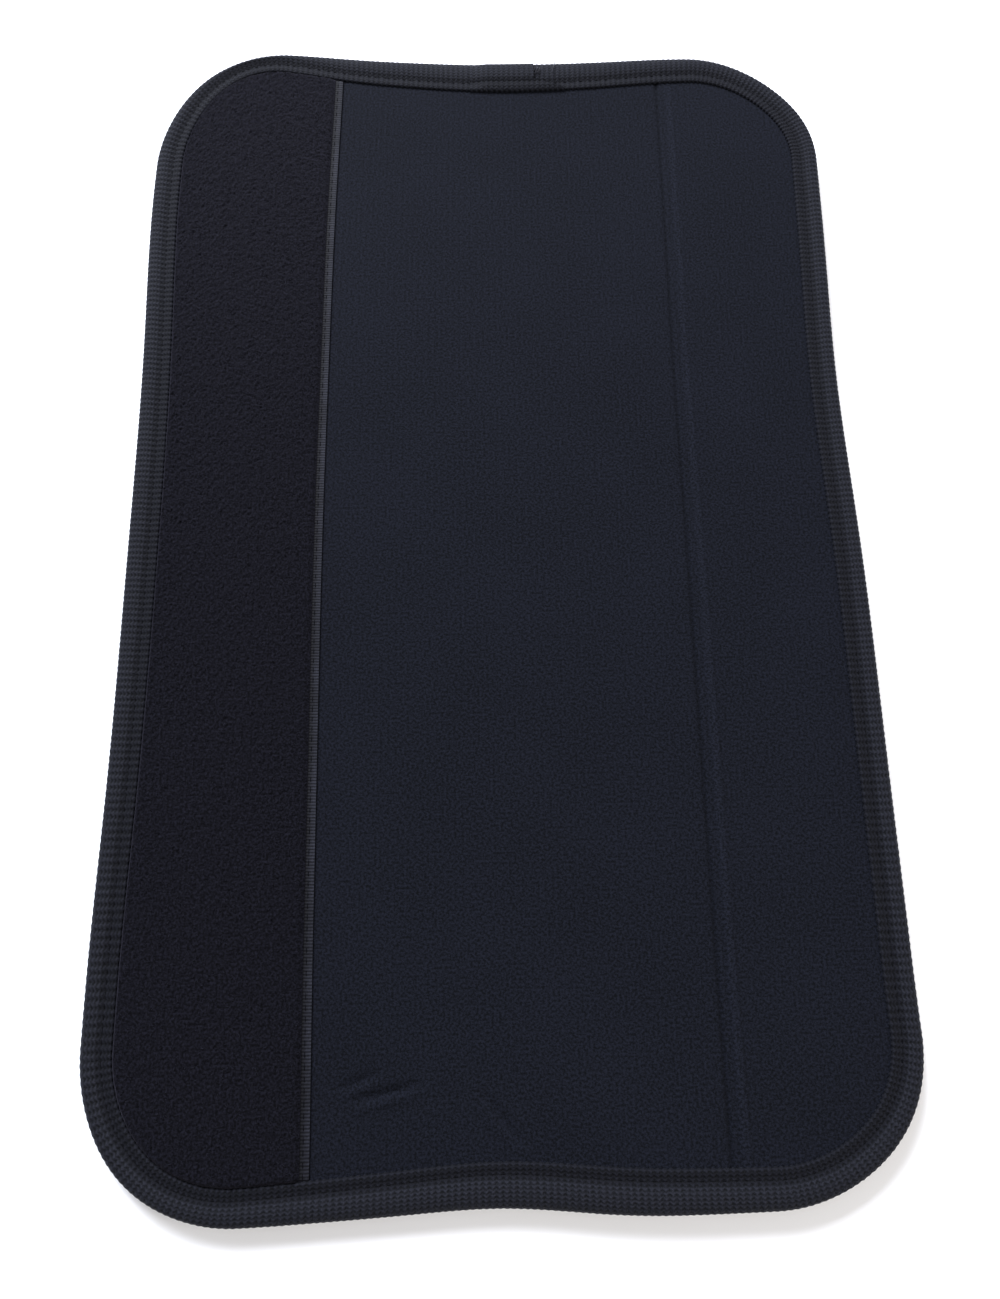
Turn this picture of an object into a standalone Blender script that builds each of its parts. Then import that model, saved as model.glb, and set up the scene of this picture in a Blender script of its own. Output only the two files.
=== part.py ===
# Wrap-around kick shield: a soft bound panel of fabric-faced foam that lies flat and closes into a sleeve.
# Units are metres. X runs across the closure, Y along the sleeve, Z up from the table.
# The real sheet bends anywhere. Here it is divided into eight strips that turn on flex lines along Y.
import math

import bpy
import bmesh
from mathutils import Matrix, Vector

# Driving dimensions
WIDTH = 0.200                # across, outside the binding
LENGTH = 0.325               # along, outside the binding
CORNER_RADIUS = 0.038
FABRIC = 0.0004              # one knitted face of the laminate
FOAM = 0.0022                # sponge between the two faces
TAPE = 0.0010                # binding wall, loop tape and hook tape
SELVEDGE = 0.0004            # woven edge of the loop tape, with no pile
SELVEDGE_WIDTH = 0.0020
GAP = 0.0003                 # between pieces that touch
LIP = 0.0085                 # width of binding seen on each face
EDGE_WALL = 0.0012           # binding outside the laminate's cut edge
ROLL = 0.0016                # rounding of the binding's outer corners
STITCH_INSET = 0.0060        # binding seam, from the outside edge
THREAD = 0.0005              # width of a seam's thread
THREAD_HEIGHT = 0.0003
LOOP_TAPE_EDGE = -0.0455     # inner edge of the loop tape, on the front
HOOK_TAPE_EDGE = 0.0505      # inner edge of the hook tape, on the back
HOOK_SEAM = 0.0019           # seam that holds the hook tape, from the tape's edge
MIDDLE_STRIPS = 4            # strips between the two tapes
BASE_STRIP = 4               # strip that stays still
LAP_START = 0.0030           # binding's overlapping end, at the far side
LAP_END = 0.0205
LAP_WIDTH = 0.0066
LAP_THICKNESS = 0.0006
CORNER_SEGMENTS = 12
SWEEP_ROOM = 0.010           # how far cutting boxes reach past the panel
FLAT_ANGLE = 0.002           # faces closer to one plane than this (radians) become one
WELD = 0.000001              # points closer than this become one
QUARTER_CIRCLE = 0.5523      # length of a Bezier handle that makes one, as a share of the radius

# Levels, from the table up
LINING_LOW = TAPE + GAP
FOAM_LOW = LINING_LOW + FABRIC + GAP
FACE_LOW = FOAM_LOW + FOAM + GAP
LIP_LOW = FACE_LOW + FABRIC + GAP
TOP = LIP_LOW + TAPE         # also the level of every flex line
LAMINATE_INSET = EDGE_WALL + GAP
WINDOW_INSET = LIP + GAP     # where the tapes meet the binding
GROOVE_DEPTH = THREAD_HEIGHT + GAP
GROOVE_WIDTH = THREAD + 2 * GAP

FINISHES = {                 # colour (linear), roughness
    "face_jersey": ((0.0150, 0.0168, 0.0245), 0.85),
    "foam_sponge": ((0.0120, 0.0120, 0.0130), 0.95),
    "lining_jersey": ((0.0130, 0.0140, 0.0190), 0.88),
    "knit_binding": ((0.0200, 0.0210, 0.0300), 0.80),
    "loop_pile": ((0.0090, 0.0095, 0.0160), 0.97),
    "hook_nylon": ((0.0080, 0.0080, 0.0090), 0.45),
    "sewing_thread": ((0.0100, 0.0110, 0.0160), 0.60),
}


def strip_borders():
    """X of every strip's edges: two strips a flap, the rest shared evenly between the tapes."""
    step = (HOOK_TAPE_EDGE - LOOP_TAPE_EDGE) / MIDDLE_STRIPS
    middle = [LOOP_TAPE_EDGE + step * i for i in range(MIDDLE_STRIPS + 1)]
    left = [-WIDTH / 2, (LOOP_TAPE_EDGE - WIDTH / 2) / 2]
    right = [(HOOK_TAPE_EDGE + WIDTH / 2) / 2, WIDTH / 2]
    return left + middle + right


BORDERS = strip_borders()
LAST_STRIP = len(BORDERS) - 1
HALF_GAP = GAP / 2
REACH = LENGTH / 2 + SWEEP_ROOM


def clear_scene():
    for thing in list(bpy.data.objects):
        bpy.data.objects.remove(thing)


def new_collection(name):
    collection = bpy.data.collections.new(name)
    bpy.context.scene.collection.children.link(collection)
    return collection


def material(name):
    made = bpy.data.materials.get(name)
    if made:
        return made
    colour, roughness = FINISHES[name]
    made = bpy.data.materials.new(name)
    made.use_nodes = True
    shader = made.node_tree.nodes["Principled BSDF"]
    shader.inputs["Base Color"].default_value = (*colour, 1)
    shader.inputs["Roughness"].default_value = roughness
    shader.inputs["Metallic"].default_value = 0
    return made


def outline(inset):
    """A rounded rectangle as a 2D curve, that far inside the panel's outer edge."""
    curve = bpy.data.curves.new("outline", "CURVE")
    curve.dimensions = "2D"
    curve.resolution_u = CORNER_SEGMENTS
    corners = [(1, -1), (1, 1), (-1, 1), (-1, -1)]
    spline = curve.splines.new("BEZIER")
    spline.bezier_points.add(2 * len(corners) - 1)
    spline.use_cyclic_u = True
    half_x, half_y = WIDTH / 2 - inset, LENGTH / 2 - inset
    radius = CORNER_RADIUS - inset
    handle = radius * QUARTER_CIRCLE
    for i, (sx, sy) in enumerate(corners):
        on_end = Vector((sx * (half_x - radius), sy * half_y, 0))
        on_side = Vector((sx * half_x, sy * (half_y - radius), 0))
        round_the_end = Vector((sx * handle, 0, 0))
        round_the_side = Vector((0, sy * handle, 0))
        if sx * sy < 0:                  # runs anticlockwise: end edge first, then the side
            places = ((on_end, round_the_end, 1), (on_side, round_the_side, -1))
        else:
            places = ((on_side, round_the_side, 1), (on_end, round_the_end, -1))
        for j, (place, towards, way) in enumerate(places):
            point = spline.bezier_points[2 * i + j]
            point.co = place
            point.handle_left = place + towards if way < 0 else place
            point.handle_right = place + towards if way > 0 else place
            point.handle_left_type = point.handle_right_type = "FREE"
    return curve


def curve_to_mesh(curve, name):
    """The curve's closed mesh, with its loose caps welded on."""
    carrier = bpy.data.objects.new(name, curve)
    bpy.context.scene.collection.objects.link(carrier)
    evaluated = carrier.evaluated_get(bpy.context.evaluated_depsgraph_get())
    mesh = bpy.data.meshes.new_from_object(evaluated)
    bpy.data.objects.remove(carrier)
    shape = bmesh.new()
    shape.from_mesh(mesh)
    bmesh.ops.remove_doubles(shape, verts=shape.verts, dist=WELD)
    bmesh.ops.dissolve_limit(shape, angle_limit=FLAT_ANGLE, verts=shape.verts, edges=shape.edges)
    bmesh.ops.recalc_face_normals(shape, faces=shape.faces)
    shape.to_mesh(mesh)
    shape.free()
    mesh.name = name
    return mesh


def slab(name, inset, low, high):
    """A flat layer with the panel's rounded outline."""
    curve = outline(inset)
    curve.fill_mode = "BOTH"
    curve.extrude = (high - low) / 2
    mesh = curve_to_mesh(curve, name)
    mesh.transform(Matrix.Translation((0, 0, (low + high) / 2)))
    return mesh


def sweep(name, profile):
    """A closed band round the panel: profile points are (distance in from the outer edge, height)."""
    section = bpy.data.curves.new("section", "CURVE")
    section.dimensions = "2D"
    line = section.splines.new("POLY")
    line.points.add(len(profile) - 1)
    line.use_cyclic_u = True
    for point, (inward, height) in zip(line.points, profile):
        point.co = (-inward, height, 0, 1)
    section_object = bpy.data.objects.new("section", section)
    bpy.context.scene.collection.objects.link(section_object)
    path = outline(0)
    path.dimensions = "3D"
    path.twist_mode = "Z_UP"
    path.bevel_mode = "OBJECT"
    path.bevel_object = section_object
    mesh = curve_to_mesh(path, name)
    bpy.data.objects.remove(section_object)
    return mesh


def add_part(name, mesh, finish, parent):
    part = bpy.data.objects.new(name, mesh)
    parts.objects.link(part)
    part.data.materials.clear()
    part.data.materials.append(material(finish))
    part.parent = parent
    part.matrix_parent_inverse = parent.matrix_world.inverted()
    return part


def box_mesh(name, low, high):
    """A box between two opposite corners."""
    size = Vector(high) - Vector(low)
    mesh = bpy.data.meshes.new(name)
    shape = bmesh.new()
    bmesh.ops.create_cube(shape, size=1)
    bmesh.ops.scale(shape, vec=size, verts=shape.verts)
    bmesh.ops.translate(shape, vec=(Vector(low) + Vector(high)) / 2, verts=shape.verts)
    shape.to_mesh(mesh)
    shape.free()
    return mesh


def cutter(name, mesh):
    made = bpy.data.objects.new(name, mesh)
    cutters.objects.link(made)
    made.hide_render = True
    made.display_type = "WIRE"
    return made


def keep_inside(part, box):
    step = part.modifiers.new("keep_inside", "BOOLEAN")
    step.operation = "INTERSECT"
    step.solver = "EXACT"
    step.object = box


def tape_mesh(name, x_low, x_high, low, selvedge):
    """A tape with square edges as long as the panel, or with a thin woven edge at its right."""
    high = low + TAPE
    across = [(x_low, low), (x_high, low)]
    if selvedge:
        across += [(x_high, low + SELVEDGE), (x_high - SELVEDGE_WIDTH, low + SELVEDGE)]
        across += [(x_high - SELVEDGE_WIDTH, high), (x_low, high)]
    else:
        across += [(x_high, high), (x_low, high)]
    mesh = bpy.data.meshes.new(name)
    shape = bmesh.new()
    corners = [shape.verts.new((x, -LENGTH / 2, z)) for x, z in across]
    face = shape.faces.new(corners)
    pushed = bmesh.ops.extrude_face_region(shape, geom=[face])
    moved = [v for v in pushed["geom"] if isinstance(v, bmesh.types.BMVert)]
    bmesh.ops.translate(shape, vec=(0, LENGTH, 0), verts=moved)
    bmesh.ops.recalc_face_normals(shape, faces=shape.faces)
    shape.to_mesh(mesh)
    shape.free()
    return mesh


def binding_profile():
    """Cross-section of the binding tape folded round the edge, with the seam's groove in its upper lip."""
    groove = (STITCH_INSET + GROOVE_WIDTH / 2, STITCH_INSET - GROOVE_WIDTH / 2)
    soft = ROLL * (1 - math.cos(math.pi / 4))        # middle point of the rounded outer corner
    upper = [(LIP, TOP), (groove[0], TOP), (groove[0], TOP - GROOVE_DEPTH),
             (groove[1], TOP - GROOVE_DEPTH), (groove[1], TOP)]
    roll = [(ROLL, TOP), (soft, TOP - soft), (0, TOP - ROLL), (0, ROLL), (soft, soft), (ROLL, 0)]
    lower = [(LIP, 0), (LIP, TAPE), (EDGE_WALL, TAPE), (EDGE_WALL, LIP_LOW), (LIP, LIP_LOW)]
    return upper + roll + lower


def thread_profile():
    left, right = STITCH_INSET - THREAD / 2, STITCH_INSET + THREAD / 2
    return [(left, TOP - THREAD_HEIGHT), (right, TOP - THREAD_HEIGHT), (right, TOP), (left, TOP)]


def add_flex_line(strip, parent, x):
    empty = bpy.data.objects.new(f"flex_line_{strip}", None)
    parts.objects.link(empty)
    empty.parent = parent
    empty.matrix_parent_inverse = parent.matrix_world.inverted()
    empty.location = (x, 0, TOP)
    bpy.context.view_layer.update()      # the next one in the chain reads this one's place
    return empty


def make_flex_lines():
    """One empty a strip, on its flex line, in two chains that start at the base strip."""
    base = bpy.data.objects.new("base", None)
    parts.objects.link(base)
    made = {BASE_STRIP: base}
    for strip in range(BASE_STRIP + 1, LAST_STRIP + 1):
        made[strip] = add_flex_line(strip, made[strip - 1], BORDERS[strip - 1])
    for strip in range(BASE_STRIP - 1, 0, -1):
        made[strip] = add_flex_line(strip, made[strip + 1], BORDERS[strip])
    return made


def make_laminate(strip, room, line):
    layers = (("face_fabric", face_slab, "face_jersey"), ("foam_core", foam_slab, "foam_sponge"),
              ("lining", lining_slab, "lining_jersey"))
    for name, mesh, finish in layers:
        part = add_part(f"{name}_{strip}", mesh.copy(), finish, line)
        keep_inside(part, room)


def cutting_box(name, x_low, x_high, y_low=-REACH, y_high=REACH):
    return cutter(name, box_mesh(name, (x_low, y_low, -SWEEP_ROOM), (x_high, y_high, TOP + SWEEP_ROOM)))


def make_binding(strip, room, line, x_low, x_high):
    """End strips carry a whole side and both its corners; the others carry a near and a far run."""
    if strip == 1:
        runs = {"left": room}
    elif strip == LAST_STRIP:
        runs = {"right": room}
    else:
        runs = {f"near_{strip}": cutting_box(f"near_room_{strip}", x_low, x_high, y_high=0),
                f"far_{strip}": cutting_box(f"far_room_{strip}", x_low, x_high, y_low=0)}
    for place, box in runs.items():
        keep_inside(add_part(f"binding_{place}", binding_ring.copy(), "knit_binding", line), box)
        keep_inside(add_part(f"binding_stitch_{place}", thread_ring.copy(), "sewing_thread", line), box)


def make_tapes():
    """Loop tape on the left flap's front, hook tape behind the right flap, each cut at a flex line."""
    left_flex, right_flex = BORDERS[1], BORDERS[-2]
    loop_end, hook_start = LOOP_TAPE_EDGE - HALF_GAP, HOOK_TAPE_EDGE + HALF_GAP
    pieces = (
        ("loop_tape_outer", -WIDTH / 2, left_flex - HALF_GAP, LIP_LOW, "loop_pile", 1),
        ("loop_tape_inner", left_flex + HALF_GAP, loop_end, LIP_LOW, "loop_pile", 2),
        ("hook_tape_inner", hook_start, right_flex - HALF_GAP, 0, "hook_nylon", LAST_STRIP - 1),
        ("hook_tape_outer", right_flex + HALF_GAP, WIDTH / 2, 0, "hook_nylon", LAST_STRIP),
    )
    for name, x_low, x_high, low, finish, strip in pieces:
        mesh = tape_mesh(name, x_low, x_high, low, selvedge=name == "loop_tape_inner")
        keep_inside(add_part(name, mesh, finish, lines[strip]), window)


def make_tape_stitches():
    """One long seam at the inner edge of each tape; the hook tape's comes through to the front."""
    end = LENGTH / 2 - WINDOW_INSET
    loop_seam = LOOP_TAPE_EDGE - SELVEDGE_WIDTH / 2
    hook_seam = HOOK_TAPE_EDGE + HOOK_SEAM
    seams = (("loop_tape_stitch", loop_seam, LIP_LOW + SELVEDGE + GAP, 2),
             ("hook_tape_stitch", hook_seam, LIP_LOW, LAST_STRIP - 1))
    for name, x, low, strip in seams:
        mesh = box_mesh(name, (x - THREAD / 2, -end, low), (x + THREAD / 2, end, low + THREAD_HEIGHT))
        add_part(name, mesh, "sewing_thread", lines[strip])


def make_binding_lap():
    """The binding's end, laid over its start on the far side."""
    outer = LENGTH / 2 - ROLL
    mesh = box_mesh("binding_lap", (LAP_START, outer - LAP_WIDTH, TOP + GAP),
                    (LAP_END, outer, TOP + GAP + LAP_THICKNESS))
    add_part("binding_lap", mesh, "knit_binding", lines[BASE_STRIP + 1])


clear_scene()
parts = new_collection("wrap_kick_shield")
cutters = new_collection("cutters")

face_slab = slab("face_slab", LAMINATE_INSET, FACE_LOW, FACE_LOW + FABRIC)
foam_slab = slab("foam_slab", LAMINATE_INSET, FOAM_LOW, FOAM_LOW + FOAM)
lining_slab = slab("lining_slab", LAMINATE_INSET, LINING_LOW, LINING_LOW + FABRIC)
binding_ring = sweep("binding_ring", binding_profile())
thread_ring = sweep("thread_ring", thread_profile())
window = cutter("binding_window", slab("binding_window", WINDOW_INSET, -SWEEP_ROOM, TOP + SWEEP_ROOM))

lines = make_flex_lines()
for strip in range(1, LAST_STRIP + 1):
    x_low = BORDERS[strip - 1] + (HALF_GAP if strip > 1 else -SWEEP_ROOM)
    x_high = BORDERS[strip] - (HALF_GAP if strip < LAST_STRIP else -SWEEP_ROOM)
    room = cutting_box(f"strip_room_{strip}", x_low, x_high)
    make_laminate(strip, room, lines[strip])
    make_binding(strip, room, lines[strip], x_low, x_high)
make_tapes()
make_tape_stitches()
make_binding_lap()
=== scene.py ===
# Looks of the wrap-around kick shield: a soft black panel of jersey-faced sponge, bound all round,
# with a loop tape on its front and a hook tape on its back. Sizes are in millimetres until a mesh is made.
import math

import bpy
import numpy as np
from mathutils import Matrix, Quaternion, Vector


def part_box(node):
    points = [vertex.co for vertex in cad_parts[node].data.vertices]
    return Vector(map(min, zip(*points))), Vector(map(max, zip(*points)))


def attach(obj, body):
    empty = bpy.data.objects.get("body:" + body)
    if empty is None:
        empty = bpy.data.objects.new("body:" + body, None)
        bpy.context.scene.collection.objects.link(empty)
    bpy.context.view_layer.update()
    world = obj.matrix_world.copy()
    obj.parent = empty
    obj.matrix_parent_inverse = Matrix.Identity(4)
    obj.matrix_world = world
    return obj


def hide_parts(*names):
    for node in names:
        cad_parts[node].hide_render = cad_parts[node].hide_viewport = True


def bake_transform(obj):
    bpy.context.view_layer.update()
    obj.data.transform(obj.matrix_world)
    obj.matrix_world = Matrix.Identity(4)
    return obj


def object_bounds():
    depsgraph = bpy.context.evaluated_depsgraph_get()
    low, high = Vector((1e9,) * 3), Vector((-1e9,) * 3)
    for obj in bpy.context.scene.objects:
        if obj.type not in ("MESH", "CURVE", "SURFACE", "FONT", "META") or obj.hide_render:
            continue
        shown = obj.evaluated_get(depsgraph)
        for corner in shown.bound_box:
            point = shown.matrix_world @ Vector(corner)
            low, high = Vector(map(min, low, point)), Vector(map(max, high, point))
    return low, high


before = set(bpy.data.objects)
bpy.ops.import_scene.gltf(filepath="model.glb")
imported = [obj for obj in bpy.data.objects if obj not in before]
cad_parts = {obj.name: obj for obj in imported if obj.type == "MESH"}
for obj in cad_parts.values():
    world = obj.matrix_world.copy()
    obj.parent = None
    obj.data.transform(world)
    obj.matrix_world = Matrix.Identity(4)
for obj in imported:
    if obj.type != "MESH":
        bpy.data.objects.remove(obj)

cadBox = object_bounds()
metre = 0.001                       # one millimetre, in Blender's metres


def nodeBox(node):
    low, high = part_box(node)
    return np.array(low) / metre, np.array(high) / metre


# The panel's plan: its size read from the model, its corner radius and number of strips given
panel = {
    "corner": 38.0,
    "width": (cadBox[1].x - cadBox[0].x) / metre,
    "length": (cadBox[1].y - cadBox[0].y) / metre,
    "strips": 8,
}
halfWidth = panel["width"] / 2
halfLength = panel["length"] / 2
cornerX = halfWidth - panel["corner"]
cornerY = halfLength - panel["corner"]

borders = [-halfWidth]
for strip in range(1, panel["strips"]):
    left = nodeBox(f"face_fabric_{strip}")[1][0]
    right = nodeBox(f"face_fabric_{strip + 1}")[0][0]
    borders.append((left + right) / 2)
borders.append(halfWidth)
centres = [(a + b) / 2 for a, b in zip(borders, borders[1:])]
bends = len(centres) - 1            # the cloth is made in this many lengths, each over one flex line


# A length of cloth between the middles of two neighbouring strips has its placement baked into its mesh
def blendOver(piece):
    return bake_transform(piece)


levels = {
    "liningLow": nodeBox("lining_4")[0][2],
    "liningTop": nodeBox("lining_4")[1][2],
    "foamLow": nodeBox("foam_core_4")[0][2],
    "foamTop": nodeBox("foam_core_4")[1][2],
    "faceLow": nodeBox("face_fabric_4")[0][2],
    "faceTop": nodeBox("face_fabric_4")[1][2],
}
loopEdge = nodeBox("loop_tape_inner")[1][0]
hookEdge = nodeBox("hook_tape_inner")[0][0]
seamLow, seamHigh = nodeBox("hook_tape_stitch")
seamX = (seamLow[0] + seamHigh[0]) / 2

# How the sewn panel has pulled out of true: x, y, reach along x, reach along y, pull along x, pull along y
pulls = [
    (-62, -162, 24, 45, 0, -1.6), (-30, -162, 24, 45, 0, -0.3), (0, -162, 24, 45, 0, 1.6),
    (30, -162, 24, 45, 0, -0.7), (-62, 162, 24, 45, 0, 3.0), (-30, 162, 24, 45, 0, 0.5),
    (0, 162, 24, 45, 0, -1.1), (30, 162, 24, 45, 0, -0.9), (62, 162, 24, 45, 0, 0.4),
    (-100, -110, 38, 42, -1.2, 0), (-100, 50, 38, 42, 0.3, 0), (-100, 110, 38, 42, -1.3, 0),
    (100, -110, 38, 42, 0.4, 0), (100, 50, 38, 42, -1.6, 0),
    (-90, -150, 22, 22, -0.3, -2.1), (-90, 150, 22, 22, 0.6, 3.6),
    (90, -150, 22, 22, 1.6, 0.9), (90, 150, 22, 22, 0.5, -2.0),
    (-45, 10, 30, 90, -1.1, 0), (-45, 165, 30, 45, 1.1, 0), (-45, -160, 30, 45, 0.6, 0),
]
# Where it stands a little off the table: x, y, reach along x, reach along y, height
lifts = [
    (35, -165, 48, 30, 1.1), (68, -158, 34, 30, 0.5), (-100, 60, 30, 60, 0.5), (100, -20, 30, 60, 0.5),
    (15, 165, 40, 25, 0.6), (10, 20, 60, 90, 0.35), (-95, -150, 22, 22, 0.4),
]


def settle(points):
    x, y = points[:, 0], points[:, 1]
    moved = np.array(points, float)
    for atX, atY, reachX, reachY, pullX, pullY in pulls:
        share = np.exp(-((x - atX) / reachX) ** 2 - ((y - atY) / reachY) ** 2)
        moved[:, 0] += pullX * share
        moved[:, 1] += pullY * share
    for atX, atY, reachX, reachY, height in lifts:
        moved[:, 2] += height * np.exp(-((x - atX) / reachX) ** 2 - ((y - atY) / reachY) ** 2)
    return moved


def edgeDistance(x, y):
    overX, overY = np.abs(x) - cornerX, np.abs(y) - cornerY
    outside = np.hypot(np.maximum(overX, 0), np.maximum(overY, 0))
    return panel["corner"] - outside - np.minimum(np.maximum(overX, overY), 0)


def step(value, low, high):
    share = np.clip((value - low) / (high - low), 0, 1)
    return share * share * (3 - 2 * share)


def hump(value, centre, reach):
    return np.exp(-((value - centre) / reach) ** 2)


# Width of the binding on the front: wider at the two ends than at the sides
lipWidths = {"side": 8.0, "near": 2.4, "far": 2.9, "farLoopCorner": -2.2, "left": 0.8}


def lipAt(x, y):
    lip = np.full(np.shape(x), lipWidths["side"], float)
    lip = lip + lipWidths["near"] * step(-y, 118, 160) * hump(x, 15, 75)
    lip = lip + lipWidths["far"] * step(y, 125, 160) * hump(x, 8, 58)
    lip = lip + lipWidths["left"] * step(-x, 70, 95) * hump(y, 0, 80)
    return lip + lipWidths["farLoopCorner"] * step(y, 120, 160) * hump(x, -72, 20)


# How grids become meshes: edges sharper than this stay sharp, a layer has this many columns round a corner,
# and columns nearer to each other than this share of the spacing are left out
meshLook = {"sharpAngle": 65, "cornerColumns": 46, "nearest": 0.12}


# Grids become meshes here, with the cloth's own flat coordinates as their UV map
def makePiece(name, points, faces, cloth, material, smooth=True):
    mesh = bpy.data.meshes.new(name)
    mesh.vertices.add(len(points))
    mesh.vertices.foreach_set("co", (points * metre).astype(np.float32).ravel())
    mesh.loops.add(faces.size)
    mesh.loops.foreach_set("vertex_index", faces.astype(np.int32).ravel())
    mesh.polygons.add(len(faces))
    mesh.polygons.foreach_set("loop_start", np.arange(len(faces), dtype=np.int32) * faces.shape[1])
    layer = mesh.uv_layers.new(name="cloth")
    layer.data.foreach_set("uv", (cloth[faces.ravel()] * metre).astype(np.float32).ravel())
    mesh.update(calc_edges=True)
    mesh.validate()
    if smooth:
        mesh.shade_smooth()
        mesh.set_sharp_from_angle(angle=math.radians(meshLook["sharpAngle"]))
    mesh.materials.append(material)
    piece = bpy.data.objects.new(name, mesh)
    bpy.context.scene.collection.objects.link(piece)
    return piece


def gridFaces(rows, columns, first=0):
    index = first + np.arange(rows * columns).reshape(rows, columns)
    corners = (index[:-1, :-1], index[1:, :-1], index[1:, 1:], index[:-1, 1:])
    return np.stack(corners, axis=-1).reshape(-1, 4)


# A thin closed layer: a grid of points above and one below, joined by a rim
def closedLayer(upper, lower, rows, columns):
    total = rows * columns
    index = np.arange(total).reshape(rows, columns)
    rim = np.concatenate([index[:-1, 0], index[-1, :-1], index[:0:-1, -1], index[0, :0:-1]])
    after = np.roll(rim, -1)
    sides = np.stack([rim, rim + total, after + total, after], axis=1)
    faces = np.concatenate([gridFaces(rows, columns), gridFaces(rows, columns, total)[:, ::-1], sides])
    return np.concatenate([upper, lower]), faces


# Columns of a layer across the panel, closer together where the corners curve, and extra ones on request
def columnsOf(start, end, spacing, inset, extra=()):
    radius = panel["corner"] - inset
    places = list(np.arange(start, end, spacing)) + [end]
    for side in (-1, 1):
        for angle in np.linspace(0, math.pi / 2, meshLook["cornerColumns"]):
            places.append(side * (cornerX + radius * math.sin(angle)))
    places += list(extra)
    kept = sorted(p for p in places if start <= p <= end)
    columns = [kept[0]]
    for place in kept[1:]:
        if place - columns[-1] > spacing * meshLook["nearest"]:
            columns.append(place)
    columns[-1] = end
    return np.array(columns)


def planGrid(start, end, inset, spacing, extra=()):
    low, high = -halfWidth + inset, halfWidth - inset
    columns = columnsOf(max(start, low), min(end, high), spacing, inset, extra)
    over = np.clip(np.abs(columns) - cornerX, 0, None)
    radius = panel["corner"] - inset
    reach = cornerY + np.sqrt(np.clip(radius ** 2 - over ** 2, 0, None))
    rows = int(2 * halfLength / spacing)
    share = np.linspace(-1, 1, rows)
    x = np.repeat(columns[:, None], rows, axis=1)
    y = reach[:, None] * share[None, :]
    return x.ravel(), y.ravel(), len(columns), rows


def layerPiece(name, start, end, inset, spacing, low, top, material, extra=()):
    x, y, columns, rows = planGrid(start, end, inset, spacing, extra)
    upper = settle(np.stack([x, y, top(x, y)], axis=1))
    lower = settle(np.stack([x, y, low(x, y)], axis=1))
    points, faces = closedLayer(upper, lower, columns, rows)
    cloth = np.tile(np.stack([x, y], axis=1), (2, 1))
    return makePiece(name, points, faces, cloth, material)


threadLook = {"upright": 0.9, "taper": 0.55}


# Many small threads at once: paths has one row of points for each thread, and their two ends are thinner
def threadMesh(paths, radius, sides):
    count, length, _ = paths.shape
    along = np.gradient(paths, axis=1)
    along /= np.maximum(np.linalg.norm(along, axis=2, keepdims=True), 1e-9)
    upright = np.abs(along[:, :, 2:3]) > threadLook["upright"]
    guide = np.where(upright, (1.0, 0.0, 0.0), (0.0, 0.0, 1.0))
    across = np.cross(along, guide)
    across /= np.linalg.norm(across, axis=2, keepdims=True)
    other = np.cross(across, along)
    taper = np.ones(length)
    taper[[0, -1]] = threadLook["taper"]
    angles = np.arange(sides) * 2 * math.pi / sides
    ring = np.cos(angles)[:, None] * across[:, :, None, :] + np.sin(angles)[:, None] * other[:, :, None, :]
    points = paths[:, :, None, :] + ring * (radius * taper)[None, :, None, None]
    index = np.arange(count * length * sides).reshape(count, length, sides)
    after = np.roll(index, -1, axis=2)
    walls = np.stack([index[:, :-1], after[:, :-1], after[:, 1:], index[:, 1:]], axis=-1).reshape(-1, 4)
    # a square thread has its ends closed; a three-sided one is too thin for them to show
    if sides == 4:
        walls = np.concatenate([walls, index[:, 0, ::-1].reshape(-1, 4), index[:, -1, :].reshape(-1, 4)])
    return points.reshape(-1, 3), walls


def srgb(code):
    channels = [int(code[i:i + 2], 16) / 255 for i in (1, 3, 5)]
    linear = [c / 12.92 if c <= 0.04045 else ((c + 0.055) / 1.055) ** 2.4 for c in channels]
    return (*linear, 1.0)


def addNode(tree, kind, settings=None, links=None):
    node = tree.nodes.new(kind)
    for key, value in (settings or {}).items():
        if key == "stops":
            elements = node.color_ramp.elements
            while len(elements) < len(value):
                elements.new(1.0)
            for element, (place, code) in zip(elements, value):
                element.position = place
                element.color = srgb(code)
        elif isinstance(key, int) or key in node.inputs:
            node.inputs[key].default_value = value
        else:
            setattr(node, key, value)
    for key, source in (links or {}).items():
        tree.links.new(source, node.inputs[key])
    return node


def newMaterial(name, shine):
    material = bpy.data.materials.new(name)
    material.use_nodes = True
    shader = material.node_tree.nodes["Principled BSDF"]
    for key, value in shine.items():
        shader.inputs[key].default_value = value
    return material, material.node_tree, shader


def perMetre(millimetres):
    return 1 / (millimetres * metre)


# Nylon jersey, circular knitted and brushed: dead matt, with a fine grain of stitches and a faint bloom
# of fibre ends
jerseyLook = {
    "stitch": 0.85, "grain": 0.62, "cloud": 30.0, "dark": "#06070a", "light": "#14161e",
    "backDark": "#0b0c10", "backLight": "#16171d", "seamPaintedShade": 0.66, "ridgePaintedLight": 1.27,
    "ridgeAway": 3.5,
}


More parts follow.
